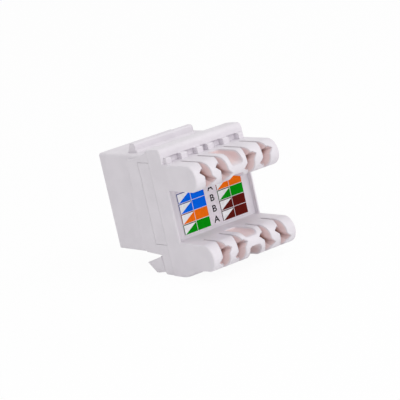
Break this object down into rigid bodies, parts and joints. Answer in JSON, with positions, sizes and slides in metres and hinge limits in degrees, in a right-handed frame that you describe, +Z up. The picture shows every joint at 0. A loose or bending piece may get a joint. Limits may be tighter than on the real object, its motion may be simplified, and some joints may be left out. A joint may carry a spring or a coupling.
{
  "type": "keystone jack",
  "caption": "Snap-in network jack: modular socket at the front, two rows of wire slots with a colour-code label between them at the rear, fixed catch above, spring latch below.",
  "frame": {"origin": "on the surface the jack stands on, under the middle of its width and of its length", "axes": "+X across the jack, -Y out of the socket's mouth, +Y out of the wire side, +Z up towards the fixed catch"},
  "size_m": [0.016, 0.0284, 0.0209],
  "materials": {
    "shell_plastic": "satin white moulded plastic",
    "carrier_plastic": "fine matt",
    "board_laminate": "lacquered",
    "label_film": "printed film",
    "contact_gold": "polished plating",
    "fork_tin": "dull tin plating"
  },
  "bodies": {
    "jack": {"front_housing": "shell_plastic", "contact_carrier": "carrier_plastic", "contact_wire_1": "contact_gold", "contact_wire_2": "contact_gold", "contact_wire_3": "contact_gold", "contact_wire_4": "contact_gold", "contact_wire_5": "contact_gold", "contact_wire_6": "contact_gold", "contact_wire_7": "contact_gold", "contact_wire_8": "contact_gold", "circuit_board": "board_laminate", "upper_fork_terminal_1": "fork_tin", "upper_fork_terminal_2": "fork_tin", "upper_fork_terminal_3": "fork_tin", "upper_fork_terminal_4": "fork_tin", "lower_fork_terminal_1": "fork_tin", "lower_fork_terminal_2": "fork_tin", "lower_fork_terminal_3": "fork_tin", "lower_fork_terminal_4": "fork_tin", "termination_block": "shell_plastic", "colour_label": "label_film"},
    "latch": {"spring_latch": "shell_plastic"}
  },
  "joints": [
    {"name": "latch_flex", "type": "hinge", "parent": "jack", "child": "latch", "pos_m": [0, -0.00065, 0.00245], "axis": [-1, 0, 0], "range_deg": [0, 12], "stiffness_Nm_per_rad": 0.05}
  ]
}
